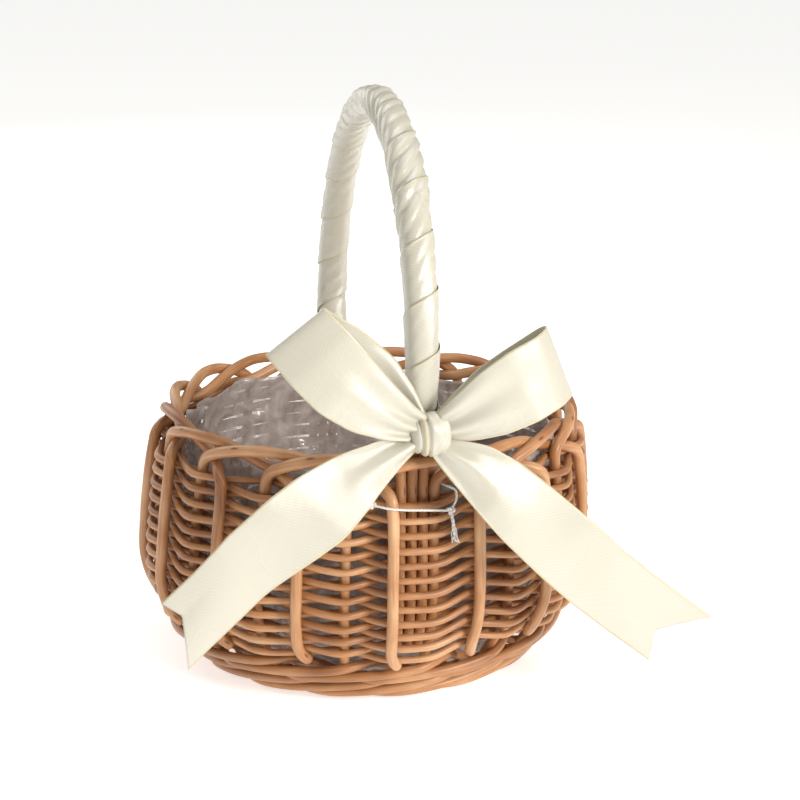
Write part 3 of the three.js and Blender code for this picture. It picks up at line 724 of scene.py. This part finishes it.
handleRods = [
    dict(bundle=(-1, -1), front=[(-1.24, -0.13), (-1.09, -0.27), (-0.8, -0.44)],
         back=[(-0.8, -0.13), (-0.93, -0.27), (-0.75, -0.44)]),
    dict(bundle=(-1, 1), front=[(-0.2, 0.07), (-0.13, 0.22), (-0.31, 0.49)],
         back=[(0.22, 0.07), (0.07, 0.22), (-0.29, 0.49)]),
    dict(bundle=(1, 1), front=[(0.84, -0.04), (0.87, 0.2), (0.69, 0.4)],
         back=[(1.24, -0.04), (1.07, 0.2), (0.73, 0.4)]),
]


def makeHandle():
    arch = archLine(bundleStart)
    across, out = archFrame(arch)
    sticks = [wall["firstStake"] - n * wall["stickStep"] for n in (3, 2, 1)]
    for k, rod in enumerate(handleRods):
        beside, outer = rod["bundle"]
        over = arch + across * beside * handle["spread"] + out * outer * handle["spread"]
        front = stickEnd(sticks[k], False, rod["front"])
        back = stickEnd(sticks[2 - k], True, rod["back"])[::-1]
        path = softPath(np.concatenate([front, over, back]), 1.5, 2.2)
        radius = handle["radius"] + wander(lengthAlong(path), 0.05, 60)
        tube = tubeParts(path, radius, handle["sides"], sideways)
        buildRod(f"handleRod_{k + 1}", tube, rodFinish, "willow_weave", [f"handle_rod_{k + 1}"],
                 chance.normal(0.03, 0.05))
    core = (arch + (across - out) * handle["spread"])[8:-8]
    tube = tubeParts(core, handle["radius"], handle["sides"], sideways, cap=0.3)
    buildRod("handleCoreRod", tube, rodFinish, "willow_weave", ["handle_core"], 0.0)


makeHandle()
print("handle rods made")


# Handle wrap: one satin ribbon wound round the rods, each turn lapping a third over the last.
wrap = dict(start=114.5, inner=6.25, square=0.22, pitch=22.5, cover=32.0, layer=0.6, thickness=0.22,
            perTurn=44, columns=40, foldPitch=8.5, foldStarts=6, foldLow=0.12, foldHigh=1.05,
            foldFrom=62, foldTo=96, foldEnd=150, foldFade=50, jog=0.55, jogAt=100)


def makeWrap():
    arch = archLine(wrap["start"])
    across, out = archFrame(arch)
    total = lengthAlong(arch)[-1]
    s = np.linspace(0, total, len(arch))
    turns = (total + wrap["cover"]) / wrap["pitch"]
    t = np.linspace(0, turns, int(turns * wrap["perTurn"]))
    b = np.linspace(0, 1, wrap["columns"])
    # wound from the back foot over to the front one: the lower edge of each turn lies on the rods and
    # its upper edge over the turn before. Distance along the arch = end - pitch * turns + cover * b
    at = total - wrap["pitch"] * t[:, None] + wrap["cover"] * b[None, :]
    at = np.clip(at, 0, total)
    around = 2 * np.pi * t[:, None] + 0 * b[None, :] + 2.2
    high = smoothStep((at - wrap["foldFrom"]) / (wrap["foldTo"] - wrap["foldFrom"]))
    high = high * (1 - 0.7 * smoothStep((at - wrap["foldEnd"]) / wrap["foldFade"]))
    fold = wrap["foldLow"] + (wrap["foldHigh"] - wrap["foldLow"]) * high
    # steep pleats: sharp-edged ridges along a much longer helix than the ribbon's own
    uneven = 1.5 * np.sin(at / 13 + 1.3) + 1.2 * np.sin(2 * around + at / 23)
    phase = 2 * np.pi * at / wrap["foldPitch"] + wrap["foldStarts"] * around + uneven
    ridge = (np.sin(phase) + 0.4 * np.sin(2 * phase + 0.8)) * (0.75 + 0.4 * np.sin(at / 9 + around))
    jog = wrap["jog"] * smoothStep((at - wrap["jogAt"]) / 2.5)
    jog = jog * smoothStep((wrap["jogAt"] + 40 - at) / 34)
    radius = wrap["inner"] + wrap["square"] * np.cos(4 * around + np.pi)
    radius = radius + wrap["layer"] * b[None, :] ** 1.3 * 1.5 + fold * ridge * 0.5 + jog
    centre, right, outer = (np.stack([np.interp(at, s, line[:, k]) for k in range(3)], -1)
                            for line in (arch, across, out))
    spoke = np.cos(around)[..., None] * right + np.sin(around)[..., None] * outer
    points = centre + radius[..., None] * spoke
    # turns that would pass the ends of the rods are left out
    wound = wrap["pitch"] * t
    points = points[(wound < total + wrap["cover"] * 0.45) & (wound > wrap["cover"] * 0.55)]
    length = lengthAlong(points[:, len(b) // 2])
    u = np.repeat(length[:, None], len(b), 1)
    v = np.broadcast_to((b - 0.5) * satin["width"], u.shape)
    made = buildMesh("handleRibbon", *joinParts([gridParts(points, u, v)], False),
                     satinFinish, "satin_ribbon", ["handle_wrap"])
    addThickness(made, wrap["thickness"])


makeWrap()
print("handle wrap made")


# Bow: a gathered knot, two loops and two notched tails of the same ribbon.
knotLow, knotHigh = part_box("bow_knot")
bow = dict(right=1.2, back=0.6, up=1.2, columns=29, spacing=1.1, softness=2.2, thickness=0.3)
bowMiddle = np.array([bow["right"], knotLow.y * 1000 + 2.6 + bow["back"],
                      (knotLow.z + knotHigh.z) * 500 + bow["up"]])

# rows of a ribbon's centreline: [along, towards the front, across, half width]
loops = [
    dict(name="bowLoopLeft", node="bow_loop_left", turn=144, side=-1, skew=-3.6,
         gather=1.3, folds=2.3, phase=0.4, twist=([10, 40, 70], [0, -1.5, 0.5]),
         rows=[(6, 1.5, -0.6, 6.0), (14, 4.5, -2.4, 8.5), (28, 7.5, -3.4, 12), (42, 8.5, -2.2, 14),
               (56, 7, 0.6, 14.4), (68, 2.6, 3, 13.8), (70, 0.2, 3.2, 13.6), (67.5, -1.8, 3, 13.6),
               (50, -4.5, 3.5, 14), (30, -5, 3, 13), (15, -3.5, 1.5, 9), (6, -1.5, 0, 5.5)]),
    dict(name="bowLoopRight", node="bow_loop_right", turn=29, side=1, skew=1.4,
         gather=1.2, folds=2.0, phase=2.0, twist=([10, 40, 70], [0, -1.5, 0]),
         rows=[(6, 1.5, 0, 6.5), (14, 5, 0, 10), (26, 8.5, 1, 13.5), (40, 10, 1.5, 15),
               (52, 7.5, 0.5, 15), (58, 2.4, 0, 15), (59, 0, 0, 15), (56.5, -2.2, -0.3, 15),
               (44, -5, -2.5, 15), (28, -5.5, -2.5, 13.5), (15, -3.5, -1, 9), (6, -1.5, 0, 5.5)]),
]
tails = [
    dict(name="bowTailLeft", node="bow_tail_left", turn=218, side=-1,
         gather=1.7, folds=1.35, phase=1.1, twist=([8, 35, 62, 90, 124], [0, -4.2, -1.5, 3.2, 2.5]),
         rows=[(6, 0.5, 2.2, 4.5), (16, 4, 5.2, 7.0), (30, 8, 8.0, 10.4), (50, 14, 9.8, 14.8),
               (64, 15.5, 10.8, 15.3), (84, 13, 9.6, 15.4), (104, 8.5, 4.9, 15), (124, 4, 0.8, 15.3)],
         upperTip=-3.5, notch=-6.5, notchAt=0.42, lowerTip=6.6, curl=-2.5),
    dict(name="bowTailRight", node="bow_tail_right", turn=-41, side=1,
         gather=1.3, folds=1.6, phase=0.2, twist=([8, 35, 60, 95, 138], [0, -3.2, -2.4, 0.5, 2.0]),
         rows=[(6, 0.5, -1.6, 4.0), (12, 3, 0, 7.2), (20, 5.5, 1.6, 10.2), (34, 9, 1.8, 12.8),
               (47, 11, 1.3, 14), (72, 12, 0.6, 15), (92, 11, 0, 15), (110, 8, 0.3, 15),
               (138, 3, 1.8, 15.4)],
         upperTip=8.4, notch=-6, notchAt=-0.25, lowerTip=1.6, curl=1.5),
]


def ribbonGrid(row):
    line = softPath(np.array(row["rows"], float), bow["spacing"], bow["softness"])
    w = np.linspace(-1, 1, bow["columns"])[None, :]
    along, front, across, half = (line[:, k][:, None] for k in range(4))
    length = lengthAlong(line[:, :3])
    # gathers: lengthwise folds that die away from the knot
    near = np.exp(-((along - 6) / 22) ** 2)
    front = front + row["gather"] * near * np.cos(np.pi * row["folds"] * w + row["phase"])
    # a soft bow across the width and a slow wave along it
    front = front + 0.7 * (1 - w ** 2) + 0.5 * np.sin(along / 15 + 2 * w + row["phase"]) * (1 - near)
    # and a twist: the upper edge lies back near the knot and comes forward towards the end
    front = front + w * np.interp(along, *row["twist"]) * half / 15
    x = along + row.get("skew", 0) * w * smoothStep(along / 55)
    y = across + half * w
    return x, front + 0 * w, y, length


def placeBow(x, front, y, row):
    a = math.radians(row["turn"])
    along = np.array([math.cos(a), 0, math.sin(a)])
    across = np.array([-math.sin(a), 0, math.cos(a)]) * row["side"]
    flat = bowMiddle + x[..., None] * along + y[..., None] * across
    return flat - front[..., None] * np.array([0, 1.0, 0])


def makeRibbon(row, cut=False):
    x, front, y, length = ribbonGrid(row)
    if cut:
        # the cut end: two tips and a notch, reached by stretching each lengthwise thread
        w = np.linspace(-1, 1, bow["columns"])
        more = np.interp(w, [-1, row["notchAt"], 1], [row["lowerTip"], row["notch"], row["upperTip"]])
        share = (length / length[-1])[:, None]
        x = x + more[None, :] * smoothStep((share - 0.72) / 0.28) * share
        front = front + row["curl"] * share ** 3 * (w[None, :] ** 2 - 0.3)
    points = placeBow(x, front, y, row)
    u = np.repeat(length[:, None], bow["columns"], 1)
    # the gathered part keeps its full width of cloth in its folds, so its threads run the whole way
    half = satin["width"] / 2
    v = np.broadcast_to(np.linspace(-half, half, bow["columns"]), u.shape)
    made = buildMesh(row["name"], *joinParts([gridParts(points, u, v)], False),
                     satinFinish, "satin_ribbon", [row["node"]])
    addThickness(made, bow["thickness"])


knot = dict(halfWidth=8.2, halfHeight=8.8, depth=6.6, tilt=6, rows=61, columns=72,
            bandRadius=9.3, bandHeight=6.2, bandThick=0.9, bandRows=90, bandColumns=32)


def makeKnot():
    # a pumpkin on its side: radius = round profile of x, less a groove at each pleat
    shape = (knot["rows"], knot["columns"] + 1)
    x = np.linspace(-0.985, 0.985, shape[0])
    a = np.linspace(0, 2 * np.pi, shape[1])[:-1]
    profile = (1 - abs(x) ** 2.8) ** 0.42
    grooves = 0.24 * bump((x + 0.56) / 0.07) + 0.20 * bump((x + 0.22) / 0.07)
    grooves = grooves + 0.05 * bump((x - 0.55) / 0.14)
    grid = (profile * (1 - grooves))[:, None] * np.ones_like(a)[None, :]
    grid = grid * (1 + 0.035 * np.sin(3 * a + 6 * x[:, None]))
    px = x[:, None] * knot["halfWidth"] + 0.8 * np.cos(a)[None, :] * grid
    py = -grid * np.cos(a)[None, :] * knot["depth"]
    pz = grid * np.sin(a)[None, :] * knot["halfHeight"]
    tilt = math.radians(knot["tilt"])
    s, c = math.sin(tilt), math.cos(tilt)
    points = bowMiddle + np.stack([px * c - pz * s, py, px * s + pz * c], -1)
    u = np.broadcast_to(np.linspace(0, 50, shape[1])[None, :], shape)
    v = np.interp(x, [-1, -0.44, -0.36, 1], [-8, -14.9, -14.9, 13])
    v = np.broadcast_to(v[:, None], shape)
    poles = [points[0].mean(0), points[-1].mean(0)]
    buildMesh("bowKnot", *joinParts([gridParts(points, u, v, wrap=True, poles=poles)], True),
              satinFinish, "satin_ribbon", ["bow_knot"])
    # behind it the ribbon goes round the leg as a pleated band whose ends are inside the knot
    centre = np.array([0, -legReach(bowMiddle[2]), bowMiddle[2]])
    rows, columns = knot["bandRows"], knot["bandColumns"] + 1
    t = np.radians(np.linspace(-62, 242, rows))
    c = np.linspace(0, 2 * np.pi, columns)[:-1]
    pleat = 1 + 0.5 * np.sin(3 * np.sin(c) * 2.2)
    lift = np.sin(c) * knot["bandHeight"]
    thick = np.cos(c) * knot["bandThick"] * pleat
    r = knot["bandRadius"] + thick[None, :] + 0.4 * (1 - np.sin(c) ** 2)[None, :]
    r = r + 0.2 * np.sin(5 * t)[:, None]
    z = np.broadcast_to(lift, r.shape) + 0.5 * np.sin(2 * t)[:, None]
    ring = np.stack([r * np.cos(t)[:, None], r * np.sin(t)[:, None], z], -1) + centre
    u = np.repeat((np.linspace(0, 60, rows))[:, None], columns, 1)
    v = np.broadcast_to(np.linspace(-7, 7, columns), u.shape)
    poles = [ring[0].mean(0), ring[-1].mean(0)]
    buildMesh("bowKnotBand", *joinParts([gridParts(ring, u, v, wrap=True, poles=poles)], True),
              satinFinish, "satin_ribbon", ["bow_knot"])


makeKnot()
for row in loops:
    makeRibbon(row)
for row in tails:
    makeRibbon(row, cut=True)
print("bow made")


# Liner: a clear film bag that stands crumpled inside the basket.
liner = dict(slack=7.9, top=102.5, bottom=10.2, corner=3, columns=300, rows=70, floorRows=22,
             creases=26, crumple=2.0, edgeWave=1.6, thickness=0.12, sheetAcross=0.33)


def makeLiner():
    angle = np.linspace(0, 2 * np.pi, liner["columns"], endpoint=False)
    # the profile: out across the floor, round the corner and up the wall
    flatRows, foldAt = liner["floorRows"], liner["bottom"] + liner["corner"]
    floorSide = float(wallRadius(np.array(foldAt))) - liner["slack"]
    rising = np.linspace(foldAt, liner["top"], liner["rows"] - flatRows)
    z = np.concatenate([np.full(flatRows, liner["bottom"]), rising])
    reach = np.concatenate([np.linspace(2, floorSide - 4, flatRows), wallRadius(rising) - liner["slack"]])
    grid = np.zeros((liner["rows"], liner["columns"]))
    for k in range(liner["creases"]):
        # each crease is the ridge of one plane wave round the bag: |sin(n angle + m height + phase)|
        n, m = int(chance.integers(2, 26)), chance.uniform(-0.16, 0.16)
        wave = abs(np.sin(n * angle[None, :] + m * z[:, None] + chance.uniform(0, 6.28)))
        grid += (1 - wave) ** 3 * chance.uniform(0.3, 1.0) / (1 + n * 0.08)
    grid = (grid - grid.mean()) / grid.std()
    crumple = np.clip(grid, -1.2, 2.2) * liner["crumple"] * 0.5
    onWall = smoothStep((z[:, None] - liner["bottom"]) / 10)
    radius = reach[:, None] - np.clip(crumple + 0.6, 0, None) * onWall
    top = smoothStep((z[:, None] - 80) / 22)
    waves = np.sin(7 * angle + 1)[None, :] + 0.6 * np.sin(17 * angle)[None, :]
    lift = liner["edgeWave"] * top * waves
    lift = lift + (1 - onWall) * np.clip(grid, 0, 2) * 0.5
    # in front and behind, the bag stands a little nearer the wall than at the sides
    squash = wall["ovality"]
    s, c = np.sin(angle)[None, :], np.cos(angle)[None, :]
    y = -(radius * squash) * c - (1 - squash) * liner["slack"] * c * onWall
    points = np.stack([radius * s, y, z[:, None] + lift], -1)
    along = np.concatenate([[0], np.cumsum(np.hypot(np.diff(reach), np.diff(z)))])
    u = np.repeat(along[:, None], liner["columns"] + 1, 1)
    v = np.broadcast_to(np.linspace(0, 500, liner["columns"] + 1), u.shape)
    poles = [points[0].mean(0), points[-1].mean(0)]
    flat, quads, quadUv, tris, triUv = gridParts(points, u, v, wrap=True, poles=poles)
    # only the floor is closed; the mouth stays open
    tris, triUv, flat = tris[:liner["columns"]], triUv[:liner["columns"]], flat[:-1]
    made = buildMesh("filmLiner", *joinParts([(flat, quads, quadUv, tris, triUv)], False),
                     filmFinish, "clear_film", ["liner"])
    addThickness(made, liner["thickness"])


makeLiner()
print("liner made")


# Liner tie: cotton string over the top row, knotted on each side of an outer rod.
tie = dict(radius=0.46, slot=99.25, knotLeft=(-11.4, -4.6, 8.4), knotRight=(7.6, -8.4, 7.4), strands=11)
# the string's route: [angle, up from the slot between two rows, out]
tieRoute = [(-20.6, 0.1, -7.6), (-20.6, 0.1, 0), (-20.4, 0, 4.6), (-18.6, -1.4, 7.4),
            (-14.8, -3.4, 8.4), (-11.4, -4.6, 8.4), (-8.6, -4.9, 11.0), (-6.35, -5.3, 11.5),
            (-3.6, -6.0, 10.7), (2.0, -7.2, 8.6), (7.6, -8.4, 7.4), (9.2, -4.4, 7.4),
            (9.4, -0.6, 6.6), (8.2, 0, 4.6), (7.0, 0, 0), (7.0, 0, -7.6)]


def tiePoint(row):
    row = np.atleast_2d(np.array(row, float))
    return wallPoint(row[:, 0], tie["slot"] + row[:, 1], row[:, 2])


def stringKnot(at, size):
    # a trefoil, the closed form of an overhand knot
    t = np.linspace(0, 2 * np.pi, 90)
    x, y, z = np.sin(t) + 2 * np.sin(2 * t), -1.6 * np.sin(3 * t), np.cos(t) - 2 * np.cos(2 * t)
    curve = tiePoint(at)[0] + np.stack([x, y, z], 1) * size
    return tubeParts(curve, tie["radius"], 8, np.array([0.2, 1.0, 0.1]), cap=0.3)


def makeTie():
    up = np.array([0.1, 0.2, 1.0])
    grids = [tubeParts(softPath(tiePoint(tieRoute), 0.6, 0.9), tie["radius"], 8, up)]
    grids += [stringKnot(tie["knotLeft"], 0.42), stringKnot(tie["knotRight"], 0.5)]
    stub = softPath(tiePoint([tie["knotLeft"], (-13.6, -7.0, 9.0), (-16.8, -9.9, 8.6)]), 0.5, 0.6)
    for shift in (-0.5, 0.45):
        apart = np.array([0.2, 0, shift]) * np.linspace(0.3, 1, len(stub))[:, None]
        grids.append(tubeParts(stub + apart, 0.6, 8, up))
    for k in range(tie["strands"]):
        spread = chance.normal(0, 1)
        end = (8.9 + spread * 0.75, -20.5 + chance.uniform(-1.5, 1.2), 7.4 + chance.normal(0, 0.5))
        route = [tie["knotRight"], (8.0 + spread * 0.12, -11, 7.5), (8.5 + spread * 0.3, -16.5, 7.4), end]
        strand = softPath(tiePoint(route), 0.8, 1.2)
        turn = k + lengthAlong(strand)
        strand = strand + np.stack([np.cos(turn), np.sin(turn), 0 * turn], 1) * 0.28
        grids.append(tubeParts(strand, 0.21, 6, np.array([0.3, 1.0, 0.2])))
    buildMesh("linerTie", *joinParts(grids, True), cottonFinish, "cotton_string", ["liner_tie"])


makeTie()
print("liner tie made")


# Floor.
floor = dict(size=24000, colour="#F7F7F6", glow=0.66, roughness=0.85)


def makeFloor():
    # pale matt card, with a very slight tooth
    finish, tree = startMaterial("palePaperFloor")
    place = addNode(tree, "TexCoord").outputs["Object"]
    tooth = addNode(tree, "TexNoise", {"Vector": place, "Scale": 900.0, "Detail": 2.0})
    relief = addNode(tree, "Bump", {"Height": tooth.outputs["Fac"], "Strength": 0.05, "Distance": 0.0002})
    shader = addNode(tree, "BsdfPrincipled", {
        "Base Color": linear(floor["colour"]), "Roughness": floor["roughness"],
        "Emission Color": linear(floor["colour"]), "Emission Strength": floor["glow"],
        "Normal": relief.outputs[0]})
    finishMaterial(tree, shader)
    half = floor["size"] * 0.0005
    corners = [(-half, -half, 0), (half, -half, 0), (half, half, 0), (-half, half, 0)]
    mesh = bpy.data.meshes.new("floor")
    mesh.from_pydata(corners, [], [(0, 1, 2, 3)])
    mesh.materials.append(finish)
    made = bpy.data.objects.new("floor", mesh)
    scene.collection.objects.link(made)


makeFloor()
bpy.context.view_layer.update()
print("scene finished")
